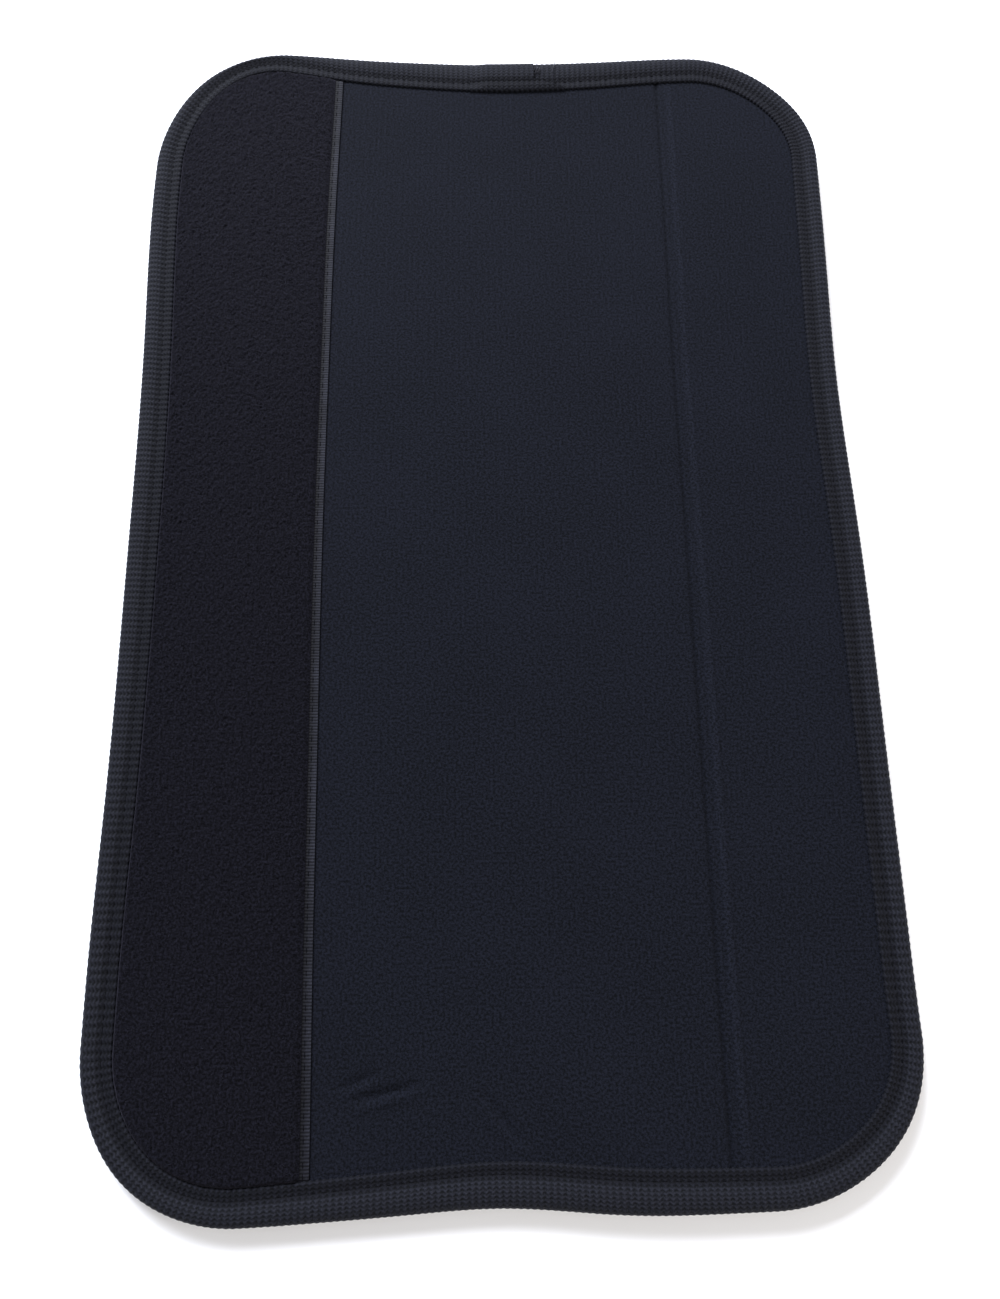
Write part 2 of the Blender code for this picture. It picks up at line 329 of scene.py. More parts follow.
def knittedJersey(name, dark, light, seamAt=None):
    material, tree, shader = newMaterial(name, {
        "Roughness": 0.88, "Specular IOR Level": 0.05, "Sheen Weight": 0.045, "Sheen Roughness": 0.45,
        "Sheen Tint": srgb("#c9cfea")})
    cloth = addNode(tree, "ShaderNodeUVMap", {"uv_map": "cloth"}).outputs["UV"]
    # the real stitches are 0.5 mm wide; they are drawn at 0.85 mm so that they show
    ribs = addNode(tree, "ShaderNodeTexWave", {
        "wave_type": "BANDS", "bands_direction": "X", "Distortion": 1.4, "Detail": 2.0, "Detail Scale": 2.2,
        "Scale": perMetre(jerseyLook["stitch"]) * math.pi / 20}, {"Vector": cloth})
    grain = addNode(tree, "ShaderNodeTexNoise", {
        "Scale": perMetre(jerseyLook["grain"]), "Detail": 3.0, "Roughness": 0.7}, {"Vector": cloth})
    cloud = addNode(tree, "ShaderNodeTexNoise", {
        "Scale": perMetre(jerseyLook["cloud"]), "Detail": 2.0}, {"Vector": cloth})
    fine = addNode(tree, "ShaderNodeMath", {"operation": "MULTIPLY", 1: 0.93}, {0: grain.outputs["Fac"]})
    mixed = addNode(tree, "ShaderNodeMath", {"operation": "MULTIPLY_ADD", 1: 0.07}, {
        0: cloud.outputs["Fac"], 2: fine.outputs[0]})
    colour = addNode(tree, "ShaderNodeValToRGB", {"stops": [(0.40, dark), (0.60, light)]}, {
        "Fac": mixed.outputs[0]}).outputs["Color"]
    if seamAt is not None:
        # the stitches draw the cloth down into a channel; painted shade colours the cloth darker along it,
        # standing in for the shade in that channel
        place = addNode(tree, "ShaderNodeSeparateXYZ", links={0: cloth}).outputs
        away = addNode(tree, "ShaderNodeMath", {"operation": "SUBTRACT", 1: seamAt * metre}, {
            0: place["X"]})
        off = addNode(tree, "ShaderNodeMath", {"operation": "ABSOLUTE"}, {0: away.outputs[0]})
        paintedSeamShade = addNode(tree, "ShaderNodeMapRange", {
            "From Min": 0.15 * metre, "From Max": 0.65 * metre, "To Min": jerseyLook["seamPaintedShade"],
            "To Max": 1.0}, {"Value": off.outputs[0]})
        colour = addNode(tree, "ShaderNodeVectorMath", {"operation": "SCALE"}, {
            0: colour, "Scale": paintedSeamShade.outputs["Result"]}).outputs[0]
        # the turned edge of the tape behind raises a ridge in the cloth; a painted highlight colours the
        # cloth lighter along it, standing in for the light on the ridge
        ridgeAt = (seamAt + jerseyLook["ridgeAway"]) * metre
        away = addNode(tree, "ShaderNodeMath", {"operation": "SUBTRACT", 1: ridgeAt}, {0: place["X"]})
        off = addNode(tree, "ShaderNodeMath", {"operation": "ABSOLUTE"}, {0: away.outputs[0]})
        paintedRidgeLight = addNode(tree, "ShaderNodeMapRange", {
            "interpolation_type": "SMOOTHSTEP", "From Min": 0.3 * metre, "From Max": 1.4 * metre,
            "To Min": jerseyLook["ridgePaintedLight"], "To Max": 1.0}, {"Value": off.outputs[0]})
        colour = addNode(tree, "ShaderNodeVectorMath", {"operation": "SCALE"}, {
            0: colour, "Scale": paintedRidgeLight.outputs["Result"]}).outputs[0]
    tree.links.new(colour, shader.inputs["Base Color"])
    height = addNode(tree, "ShaderNodeMath", {"operation": "MULTIPLY_ADD", 1: 0.35}, {
        0: ribs.outputs["Fac"], 2: grain.outputs["Fac"]})
    bump = addNode(tree, "ShaderNodeBump", {"Strength": 0.8, "Distance": 0.00022}, {
        "Height": height.outputs[0]})
    tree.links.new(bump.outputs["Normal"], shader.inputs["Normal"])
    return material


# Polyester binding tape, rib knitted: columns of V stitches, with painted light on their crowns and painted
# shade in the holes between, and painted shade in the groove where the seam runs and along the lip's inner
# edge
tapeLook = {
    "wale": 1.58, "course": 0.95, "seamFrom": 1.5, "seamTo": 3.7, "seamFade": 0.8, "scaleTo": 12.0,
    "lipPaintedShade": "#cfcfd4", "seamPaintedShade": "#bdbdc2", "plain": "#ffffff",
}


def knittedTape(name, dark, light):
    look = tapeLook
    material, tree, shader = newMaterial(name, {
        "Roughness": 0.76, "Specular IOR Level": 0.08, "Sheen Weight": 0.05, "Sheen Roughness": 0.4,
        "Sheen Tint": srgb("#ccd0e6")})
    cloth = addNode(tree, "ShaderNodeUVMap", {"uv_map": "cloth"}).outputs["UV"]
    place = addNode(tree, "ShaderNodeSeparateXYZ", links={0: cloth}).outputs
    wale = addNode(tree, "ShaderNodeMath", {"operation": "MULTIPLY", 1: perMetre(look["wale"])}, {
        0: place["X"]})
    lean = addNode(tree, "ShaderNodeMath", {"operation": "PINGPONG", 1: 0.5}, {0: wale.outputs[0]})
    course = addNode(tree, "ShaderNodeMath", {"operation": "MULTIPLY_ADD", 1: perMetre(look["course"])}, {
        0: place["Y"], 2: lean.outputs[0]})
    waves = []
    for source in (wale, course):
        angle = addNode(tree, "ShaderNodeMath", {"operation": "MULTIPLY", 1: 2 * math.pi}, {
            0: source.outputs[0]})
        waves.append(addNode(tree, "ShaderNodeMath", {"operation": "COSINE"}, {0: angle.outputs[0]}))
    crowns = addNode(tree, "ShaderNodeMath", {"operation": "MULTIPLY", 1: 0.12}, {0: waves[0].outputs[0]})
    knit = addNode(tree, "ShaderNodeMath", {"operation": "MULTIPLY_ADD", 1: 0.15}, {
        0: waves[1].outputs[0], 2: crowns.outputs[0]})
    grain = addNode(tree, "ShaderNodeTexNoise", {
        "Scale": perMetre(0.5), "Detail": 3.0, "Roughness": 0.65}, {"Vector": cloth})
    height = addNode(tree, "ShaderNodeMath", {"operation": "ADD"}, {
        0: knit.outputs[0], 1: grain.outputs["Fac"]})
    # painted light and shade: the knit's height sets the colour, lighter on the crowns and darker in the
    # holes
    knitPaintedLightAndShade = addNode(tree, "ShaderNodeValToRGB", {"stops": [(0.22, dark), (0.80, light)]}, {
        "Fac": height.outputs[0]})
    across = addNode(tree, "ShaderNodeMath", {"operation": "MULTIPLY", 1: perMetre(look["scaleTo"])}, {
        0: place["Y"]})
    edges = [look["seamFrom"] - look["seamFade"], look["seamFrom"], look["seamTo"],
             look["seamTo"] + look["seamFade"]]
    shades = [look["lipPaintedShade"], look["seamPaintedShade"], look["seamPaintedShade"], look["plain"]]
    # painted shade: darker in the seam's groove, and a little darker along the lip's inner edge
    tapePaintedShade = addNode(tree, "ShaderNodeValToRGB", {
        "stops": [(edge / look["scaleTo"], shade) for edge, shade in zip(edges, shades)]}, {
        "Fac": across.outputs[0]})
    shaded = addNode(tree, "ShaderNodeMix", {"data_type": "RGBA", "blend_type": "MULTIPLY", 0: 1.0}, {
        6: knitPaintedLightAndShade.outputs["Color"], 7: tapePaintedShade.outputs["Color"]})
    tree.links.new(shaded.outputs[2], shader.inputs["Base Color"])
    bump = addNode(tree, "ShaderNodeBump", {"Strength": 0.8, "Distance": 0.0003}, {
        "Height": height.outputs[0]})
    tree.links.new(bump.outputs["Normal"], shader.inputs["Normal"])
    return material


# Woven nylon, the ground of the two fastening tapes: plain, dull and close
def wovenTape(name, dark, light):
    material, tree, shader = newMaterial(name, {"Roughness": 0.78, "Specular IOR Level": 0.08})
    cloth = addNode(tree, "ShaderNodeUVMap", {"uv_map": "cloth"}).outputs["UV"]
    grain = addNode(tree, "ShaderNodeTexNoise", {
        "Scale": perMetre(0.45), "Detail": 3.0, "Roughness": 0.6}, {"Vector": cloth})
    colour = addNode(tree, "ShaderNodeValToRGB", {"stops": [(0.35, dark), (0.65, light)]}, {
        "Fac": grain.outputs["Fac"]})
    tree.links.new(colour.outputs["Color"], shader.inputs["Base Color"])
    bump = addNode(tree, "ShaderNodeBump", {"Strength": 0.5, "Distance": 0.00012}, {
        "Height": grain.outputs["Fac"]})
    tree.links.new(bump.outputs["Normal"], shader.inputs["Normal"])
    return material


# Nylon selvedge, woven: bright picks of weft over a dark ground, brightest along the very edge and worn
# unevenly
def wovenSelvedge(name, dark, light, edge, width, pick):
    material, tree, shader = newMaterial(name, {"Roughness": 0.7, "Specular IOR Level": 0.1})
    cloth = addNode(tree, "ShaderNodeUVMap", {"uv_map": "cloth"}).outputs["UV"]
    place = addNode(tree, "ShaderNodeSeparateXYZ", links={0: cloth}).outputs
    angle = addNode(tree, "ShaderNodeMath", {"operation": "MULTIPLY", 1: perMetre(pick) * 2 * math.pi}, {
        0: place["Y"]})
    wave = addNode(tree, "ShaderNodeMath", {"operation": "COSINE"}, {0: angle.outputs[0]})
    grain = addNode(tree, "ShaderNodeTexNoise", {"Scale": perMetre(0.5), "Detail": 2.0}, {"Vector": cloth})
    picks = addNode(tree, "ShaderNodeMath", {"operation": "MULTIPLY_ADD", 1: 0.28}, {
        0: wave.outputs[0], 2: grain.outputs["Fac"]})
    rise = addNode(tree, "ShaderNodeMapRange", {
        "From Min": (edge - width) * metre, "From Max": (edge - 0.3) * metre, "To Min": 0.0,
        "To Max": 1.0}, {"Value": place["X"]})
    wear = addNode(tree, "ShaderNodeTexNoise", {"Scale": perMetre(7.0), "Detail": 2.0}, {"Vector": cloth})
    worn = addNode(tree, "ShaderNodeMapRange", {
        "From Min": 0.35, "From Max": 0.65, "To Min": 0.55, "To Max": 1.0}, {"Value": wear.outputs["Fac"]})
    even = addNode(tree, "ShaderNodeMath", {"operation": "MULTIPLY"}, {
        0: picks.outputs[0], 1: rise.outputs["Result"]})
    shown = addNode(tree, "ShaderNodeMath", {"operation": "MULTIPLY"}, {
        0: even.outputs[0], 1: worn.outputs["Result"]})
    colour = addNode(tree, "ShaderNodeValToRGB", {"stops": [(0.05, dark), (0.72, light)]}, {
        "Fac": shown.outputs[0]})
    tree.links.new(colour.outputs["Color"], shader.inputs["Base Color"])
    return material


# Nylon loop pile, brushed: light is lost between the loops, so it is the darkest cloth, mottled where
# it clumps
def brushedPile(name, dark, light):
    material, tree, shader = newMaterial(name, {
        "Roughness": 0.95, "Specular IOR Level": 0.04, "Sheen Weight": 0.05, "Sheen Roughness": 0.55,
        "Sheen Tint": srgb("#cfcbe4")})
    cloth = addNode(tree, "ShaderNodeUVMap", {"uv_map": "cloth"}).outputs["UV"]
    clumps = addNode(tree, "ShaderNodeTexNoise", {
        "Scale": perMetre(0.6), "Detail": 3.0, "Roughness": 0.8}, {"Vector": cloth})
    colour = addNode(tree, "ShaderNodeValToRGB", {"stops": [(0.44, dark), (0.60, light)]}, {
        "Fac": clumps.outputs["Fac"]})
    tree.links.new(colour.outputs["Color"], shader.inputs["Base Color"])
    fibres = addNode(tree, "ShaderNodeTexNoise", {
        "Scale": perMetre(0.45), "Detail": 2.0, "Roughness": 0.7}, {"Vector": cloth})
    bump = addNode(tree, "ShaderNodeBump", {"Strength": 0.6, "Distance": 0.00025}, {
        "Height": fibres.outputs["Fac"]})
    tree.links.new(bump.outputs["Normal"], shader.inputs["Normal"])
    return material


# Closed-cell sponge, sliced: dark grey and porous; it only shows where the cloth is lifted
def slicedSponge(name, dark, light):
    material, tree, shader = newMaterial(name, {"Roughness": 0.95, "Specular IOR Level": 0.1})
    cloth = addNode(tree, "ShaderNodeUVMap", {"uv_map": "cloth"}).outputs["UV"]
    cells = addNode(tree, "ShaderNodeTexVoronoi", {"Scale": perMetre(0.8)}, {"Vector": cloth})
    colour = addNode(tree, "ShaderNodeValToRGB", {"stops": [(0.1, dark), (0.7, light)]}, {
        "Fac": cells.outputs["Distance"]})
    tree.links.new(colour.outputs["Color"], shader.inputs["Base Color"])
    bump = addNode(tree, "ShaderNodeBump", {"Strength": 0.6, "Distance": 0.0003}, {
        "Height": cells.outputs["Distance"]})
    tree.links.new(bump.outputs["Normal"], shader.inputs["Normal"])
    return material


# Spun polyester thread, dull and close to the cloth, and moulded nylon hooks with a small soft highlight
def smoothFibre(name, dark, light, roughness, specular):
    material, tree, shader = newMaterial(name, {"Roughness": roughness, "Specular IOR Level": specular})
    cloth = addNode(tree, "ShaderNodeUVMap", {"uv_map": "cloth"}).outputs["UV"]
    twist = addNode(tree, "ShaderNodeTexNoise", {"Scale": perMetre(0.6), "Detail": 1.0}, {"Vector": cloth})
    colour = addNode(tree, "ShaderNodeValToRGB", {"stops": [(0.35, dark), (0.65, light)]}, {
        "Fac": twist.outputs["Fac"]})
    tree.links.new(colour.outputs["Color"], shader.inputs["Base Color"])
    return material


selvedgeLook = {"width": 2.4, "pick": 0.78, "dark": "#07070a", "light": "#25262e"}
cloths = {
    "face": knittedJersey("nylonJerseyBrushed", jerseyLook["dark"], jerseyLook["light"], seamX),
    "lining": knittedJersey("nylonJerseyPlain", jerseyLook["backDark"], jerseyLook["backLight"]),
    "sponge": slicedSponge("spongeSliced", "#0c0c0d", "#1c1c1e"),
    "binding": knittedTape("polyesterTapeKnitted", "#07080a", "#1f2027"),
    "ground": wovenTape("nylonTapeWoven", "#0c0c11", "#17181f"),
    "selvedge": wovenSelvedge("nylonSelvedgeWoven", selvedgeLook["dark"], selvedgeLook["light"], loopEdge,
                              selvedgeLook["width"], selvedgeLook["pick"]),
    "pile": brushedPile("nylonLoopPileBrushed", "#020203", "#121219"),
    # the loose loops are coloured lighter than the pile under them: a painted highlight, standing in for
    # the glints on the fibres
    "fibres": brushedPile("nylonLoopFibrePaintedHighlight", "#08080b", "#212129"),
    "thread": smoothFibre("polyesterThreadSpun", "#050507", "#0c0c10", 0.8, 0.05),
    "looseThread": smoothFibre("polyesterThreadLoose", "#16171c", "#2a2b33", 0.55, 0.2),
    "hooks": smoothFibre("nylonHooksMoulded", "#0d0d10", "#1c1c20", 0.38, 0.35),
}
print("materials made")


# The laminate: jersey face, sponge, jersey lining
faceLook = {
    "inset": 1.6, "spacing": 0.85, "seamDepth": 0.60, "seamHalf": 1.3, "stitch": 2.4,
    "ridgeAway": 3.6, "ridgeHalf": 1.05, "ridgeHeight": 0.60, "unrest": 0.03, "puff": 0.25,
}
foamLook = {"inset": 2.0, "spacing": 3.0, "fill": 0.9, "clear": 0.1}
liningLook = {"spacing": 1.6, "seamDepth": 0.25, "seamHalf": 0.6, "unrest": 0.03}
# Creases of the face at the near end, each a valley with a low ridge on its near side, shallower at its
# ends: from x, y to x, y, half width, depth
creaseLook = {"ridge": 0.45, "ridgeAway": 2.2, "ends": 0.35}
creases = [
    (-39.0, -134.3, -30.0, -131.8, 0.8, 0.75), (-35.0, -137.2, -20.0, -134.5, 0.9, 0.95),
    (-5.0, -137.0, 3.5, -148.0, 0.9, 0.90),
]


def creaseHeight(x, y):
    total = np.zeros(len(x))
    for fromX, fromY, toX, toY, half, depth in creases:
        runX, runY = toX - fromX, toY - fromY
        share = np.clip(((x - fromX) * runX + (y - fromY) * runY) / (runX ** 2 + runY ** 2), 0, 1)
        lean = ((x - fromX) * runY - (y - fromY) * runX) / math.hypot(runX, runY)
        away = np.hypot(x - fromX - share * runX, y - fromY - share * runY)
        ridge = creaseLook["ridge"] * hump(away, creaseLook["ridgeAway"] * half, half) * (lean > 0)
        fade = creaseLook["ends"] + (1 - creaseLook["ends"]) * np.sin(share * math.pi)
        total -= depth * (hump(away, 0, half) - ridge) * fade
    return total


def faceHeight(x, y):
    stitch = 0.75 + 0.25 * np.cos(2 * math.pi * y / faceLook["stitch"])
    channel = faceLook["seamDepth"] * hump(x, seamX, faceLook["seamHalf"] / 2) * stitch
    ridge = faceLook["ridgeHeight"] * hump(x, seamX + faceLook["ridgeAway"], faceLook["ridgeHalf"])
    ridge *= step(-y, -10, 60) * step(edgeDistance(x, y) - lipAt(x, y), 0, 4)
    unrest = faceLook["unrest"] * np.sin(x / 7.3 + 1.3 * np.sin(y / 23)) * np.sin(y / 11.0 + x / 31)
    puff = faceLook["puff"] * step(edgeDistance(x, y), 4, 7.5) * step(x, loopEdge - 0.4, loopEdge + 1.6)
    unrest *= step(edgeDistance(x, y), 8, 14)
    return levels["faceTop"] - channel + ridge + unrest + puff + creaseHeight(x, y)


def faceUnder(x, y):
    return faceHeight(x, y) - (levels["faceTop"] - levels["faceLow"])


def foamTop(x, y):
    return np.minimum(levels["foamTop"], faceUnder(x, y) - foamLook["clear"])


def at(level):
    return lambda x, y: np.full(len(x), levels[level])


def liningLow(x, y):
    channel = liningLook["seamDepth"] * hump(x, seamX, liningLook["seamHalf"])
    return levels["liningLow"] + channel + liningLook["unrest"] * np.sin(x / 5.1) * np.sin(y / 8.3)


seamColumns = seamX + np.arange(-1.6, 1.61, 0.2)
for j in range(bends):
    start = -halfWidth if j == 0 else centres[j]
    end = halfWidth if j == bends - 1 else centres[j + 1]
    covered = [j + 1] if j < bends - 1 else [j + 1, j + 2]
    extra = [p for p in seamColumns if start < p < end]

    face = layerPiece(f"faceJersey{j + 1}", start, end, faceLook["inset"], faceLook["spacing"],
                      faceUnder, faceHeight, cloths["face"], extra)
    foam = layerPiece(f"spongeCore{j + 1}", start, end, foamLook["inset"], foamLook["spacing"],
                      at("foamLow"), foamTop, cloths["sponge"], extra)
    lining = layerPiece(f"liningJersey{j + 1}", start, end, faceLook["inset"], liningLook["spacing"],
                        liningLow, at("liningTop"), cloths["lining"], extra)
    for piece, node, slot in ((face, "face_fabric", "face_jersey"), (foam, "foam_core", "foam_sponge"),
                              (lining, "lining", "lining_jersey")):
        blendOver(piece)
        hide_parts(*[f"{node}_{strip}" for strip in covered])
print("laminate made")


# The binding, folded round the edge
bindingLook = {
    "rib": 0.055, "picotReach": 0.11, "picotFrom": 0.5, "step": 0.21, "lipPart": 4.2, "meanLip": 8.6,
    "seamIn": 2.6, "seamStitch": 2.6, "seamDash": 1.7, "thread": 0.10,
    "stretchLeft": 0.42, "stretchRight": 0.28, "stretchAt": -100, "stretchReach": 50,
    "tablePlaces": 8001, "searchPlaces": 40001, "grooveFloor": 5.60, "backFloor": 0.26,
}
cornerRun = panel["corner"] * math.pi / 2
sideRun, endRun = 2 * cornerY, 2 * cornerX
perimeter = 2 * (sideRun + endRun) + 4 * cornerRun


# Place on the outer edge, and the way inwards, at a distance run anticlockwise from the right side's
# near end
def edgeAt(run):
    run = np.asarray(run, float) % perimeter
    x, y, inX, inY = (np.zeros(run.shape) for _ in range(4))
    start = 0.0
    stretches = [
        ("line", halfWidth, -cornerY, 0, 1), ("turn", cornerX, cornerY, 0, 0),
        ("line", cornerX, halfLength, -1, 0), ("turn", -cornerX, cornerY, 90, 0),
        ("line", -halfWidth, cornerY, 0, -1), ("turn", -cornerX, -cornerY, 180, 0),
        ("line", -cornerX, -halfLength, 1, 0), ("turn", cornerX, -cornerY, 270, 0),
    ]
    for kind, baseX, baseY, first, second in stretches:
        length = cornerRun if kind == "turn" else (sideRun if second else endRun)
        here = (run >= start) & (run <= start + length)
        along = run[here] - start
        if kind == "line":
            x[here], y[here] = baseX + first * along, baseY + second * along
            inX[here], inY[here] = -second, first
        else:
            angle = np.radians(first) + along / panel["corner"]
            x[here] = baseX + panel["corner"] * np.cos(angle)
            y[here] = baseY + panel["corner"] * np.sin(angle)
            inX[here], inY[here] = -np.cos(angle), -np.sin(angle)
        start += length
    return x, y, inX, inY


# The folded tape's section, from its inner edge on the front, round the outside, to its inner edge on the
# back, then back inside the fold. The seam stays a fixed way from the inner edge, and the roll takes up the
# rest, so each point has a share of the roll's width, a fixed distance, a height, and how much of the ribs
# it shows. The last value says how many of the points are on the front.
def bindingSection():
    lipIn = [0.0, 0.0, 0.12, 0.4, 0.8, 1.2, 1.6, 2.0, 2.35, 2.7, 3.05, 3.4, 3.8]
    lipHeight = [5.22, 5.38, 5.56, 5.74, 5.84, 5.81, 5.72, 5.62, 5.57, 5.57, 5.64, 5.80, 5.99]
    rollShare = [1.0, 0.92, 0.84, 0.75, 0.65, 0.55, 0.45, 0.36, 0.28, 0.21, 0.15, 0.10, 0.06, 0.03,
                 0.01, 0.0]
    rollHeight = [6.15, 6.28, 6.38, 6.45, 6.48, 6.46, 6.40, 6.29, 6.13, 5.90, 5.60, 5.24, 4.84, 4.40,
                  3.9, 3.3]
    backShare = [0.0, 0.012, 0.035, 0.075, 0.13, 0.20, 0.30, 0.42, 0.52, 0.57, 0.62, 0.67, 0.72, 0.80,
                 0.90, 0.97, 1.0, 1.0]
    backHeight = [2.60, 1.95, 1.35, 0.80, 0.36, 0.12, 0.02, 0.0, 0.05, 0.16, 0.30, 0.34, 0.22, 0.04, 0.0,
                  0.05, 0.20, 0.92]
    insideShare = [0.62, 0.30, 0.165, 0.165, 0.30, 0.62]
    insideHeight = [0.98, 1.0, 1.12, 5.06, 5.18, 5.20]
    wholeShare = backShare + insideShare
    share = [1.0] * len(lipIn) + rollShare + wholeShare
    fixed = [bindingLook["lipPart"] - inward for inward in lipIn] + [0.0] * len(rollShare)
    fixed += [bindingLook["lipPart"] * part for part in wholeShare]
    height = lipHeight + rollHeight + backHeight + insideHeight
    ribbed = len(lipIn) + len(rollShare) + len(backShare) - 4
    ribs = [0.0, 0.6] + [1.0] * ribbed + [0.6, 0.0] + [0.0] * len(insideShare)
    front = len(lipIn) + len(rollShare)
    return np.array(share), np.array(fixed), np.array(height), np.array(ribs), front


sectionShare, sectionFixed, sectionHeight, sectionRibs, frontCount = bindingSection()


def depthsAt(lip):
    return sectionShare * (lip - bindingLook["lipPart"])[..., None] + sectionFixed


# Height of the binding's front at a depth from the outer edge, where it is lip wide
def frontHeight(depth, lip):
    part = bindingLook["lipPart"]
    meanDepths = depthsAt(np.array([bindingLook["meanLip"]]))[0][1:frontCount][::-1]
    rollMean = bindingLook["meanLip"] - part
    onRoll = depth / (lip - part) * rollMean
    likeMean = np.where(depth > lip - part, depth - lip + bindingLook["meanLip"], onRoll)
    return np.interp(likeMean, meanDepths, sectionHeight[1:frontCount][::-1])


# Ribs passed by a run along the edge; they are further apart where the tape was stretched, along the sides
# near their near ends
def ribTable():
    look = bindingLook
    run = np.linspace(0, perimeter, look["tablePlaces"])
    x, y, inX, inY = edgeAt(run)
    stretch = look["stretchLeft"] * step(-x, 80, 98) + look["stretchRight"] * step(x, 80, 98)
    pitch = tapeLook["wale"] + stretch * hump(y, look["stretchAt"], look["stretchReach"])
    passed = np.concatenate([[0], np.cumsum(np.diff(run) / ((pitch[1:] + pitch[:-1]) / 2))])
    return run, passed * round(passed[-1]) / passed[-1]


ribRuns, ribsPassed = ribTable()


def ribPhase(run):
    run = np.asarray(run, float)
    return np.interp(run % perimeter, ribRuns, ribsPassed) + np.floor(run / perimeter) * ribsPassed[-1]


def bindingPiece(name, fromRun, toRun, material):
    look = bindingLook
    count = int(math.ceil((toRun - fromRun) / look["step"])) + 1
    run = np.linspace(fromRun, toRun, count)
    x, y, inX, inY = edgeAt(run)
    # the last ring is the next piece's first one, also where the run passes its own start
    phase = ribPhase(run)
    crowns = np.cos(2 * math.pi * phase)[:, None]
    lip = lipAt(x, y)
    depth = depthsAt(lip)
    inward = lip[:, None] - depth
    onFront = (np.arange(len(sectionShare)) < frontCount)[None, :]
    picot = np.clip(1 - inward / look["picotFrom"], 0, 1) * onFront
    across = np.diff(depth, axis=1, prepend=depth[:, :1])
    upward = np.diff(sectionHeight, prepend=sectionHeight[0])
    cloth = np.cumsum(np.hypot(across, upward[None, :]), axis=1)
    outIn = np.gradient(sectionHeight)
    meanDepth = depthsAt(np.array([look["meanLip"]]))[0]
    outUp = -np.gradient(meanDepth)
    long = np.maximum(np.hypot(outIn, outUp), 1e-9)
    rib = look["rib"] * crowns * sectionRibs[None, :]
    depth = depth + rib * (outIn / long)[None, :] + look["picotReach"] * picot * crowns
    height = sectionHeight[None, :] + rib * (outUp / long)[None, :]
    height = np.where(sectionHeight[None, :] < 0.5, np.maximum(height, 0.0), height)
    placeX = x[:, None] + inX[:, None] * depth
    placeY = y[:, None] + inY[:, None] * depth
    points = settle(np.stack([placeX, placeY, height], axis=-1).reshape(-1, 3))
    size = len(sectionShare)
    index = np.arange(count * size).reshape(count, size)
    after = np.roll(index, -1, axis=1)
    walls = np.stack([index[:-1], after[:-1], after[1:], index[1:]], axis=-1).reshape(-1, 4)
    along = np.repeat(phase[:, None] * tapeLook["wale"], size, axis=1)
    return makePiece(name, points, walls, np.stack([along, cloth], axis=-1).reshape(-1, 2), material)


# Run at which the section's inner end reaches x, on the near or the far side
def runAtX(target, far):
    run = np.linspace(0, perimeter, bindingLook["searchPlaces"])
    x, y, inX, inY = edgeAt(run)
    innerX = x + inX * lipAt(x, y)
    away = np.abs(innerX - target)
    away[(y > 0) != far] = perimeter
    return run[np.argmin(away)]


farRuns = [runAtX(c, True) for c in centres]
nearRuns = [runAtX(c, False) for c in centres]


def dashes(fromRun, toRun, top):
    look = bindingLook
    count = int((toRun - fromRun) / look["seamStitch"])
    begin = fromRun + (np.arange(count) + 0.25) * look["seamStitch"]
    along = begin[:, None] + np.linspace(0, look["seamDash"], 5)[None, :]
    x, y, inX, inY = edgeAt(along)
    depth = lipAt(x, y) - look["seamIn"]
    sag = np.array([0.16, 0.02, 0.0, 0.02, 0.16])
    height = (look["grooveFloor"] - sag if top else look["backFloor"] + sag * 0.5)[None, :] + 0 * depth
    return np.stack([x + inX * depth, y + inY * depth, height], axis=-1)


def stitchPiece(name, paths, radius, material=cloths["thread"]):
    points, faces = threadMesh(paths, radius, 4)
    points = settle(points)
    return makePiece(name, points, faces, points[:, :2].copy(), material)


# One run of the binding with its seam: over a flex line its placement is baked into its mesh, and where
# there is none it rides on one strip
def dressBinding(name, fromRun, toRun, place, strip=None, bend=None):
    tape = bindingPiece(f"bindingTape{name}", fromRun, toRun, cloths["binding"])
    paths = np.concatenate([dashes(fromRun, toRun, True), dashes(fromRun, toRun, False)])
    seam = stitchPiece(f"bindingSeam{name}", paths, bindingLook["thread"])
    for piece, slot in ((tape, "knit_binding"), (seam, "sewing_thread")):
        if bend is None:
            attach(piece, strip)
        else:
            blendOver(piece)
    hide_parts(f"binding_{place}")
    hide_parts(f"binding_stitch_{place}")


dressBinding("Left", farRuns[0], nearRuns[0], "left", strip="strip_1")
dressBinding("Right", nearRuns[-1] - perimeter, farRuns[-1], "right", strip=f"strip_{panel['strips']}")
for j in range(bends):
    for side, ends in (("near", (nearRuns[j], nearRuns[j + 1])), ("far", (farRuns[j + 1], farRuns[j]))):
        place = f"{side}_{j + 2}" if j < bends - 1 else "right"
        dressBinding(f"{side.capitalize()}{j + 1}", *ends, place, bend=j)
print("binding made")


# The loop tape on the front
loopLook = {
    "inset": 5.0, "spacing": 0.38, "groundSpacing": 1.2, "cut": 0.312,
    "groundLow": 4.98, "underLip": 5.06, "groundRise": 0.30,
    "pileRise": 0.92, "clump": 0.95, "grain": 0.45, "clumpHeight": 0.07, "grainHeight": 0.24,
    "loops": 12000, "loopWire": 0.045, "seed": 11,
    "seamIn": 1.45, "seamHeight": 5.58, "seamWire": 0.10, "endRoom": 9, "stitch": 2.6, "dash": 1.9,
}
noise = np.random.default_rng(loopLook["seed"])
noiseCells = 899
noiseField = noise.normal(size=(noiseCells + 1, noiseCells + 1))


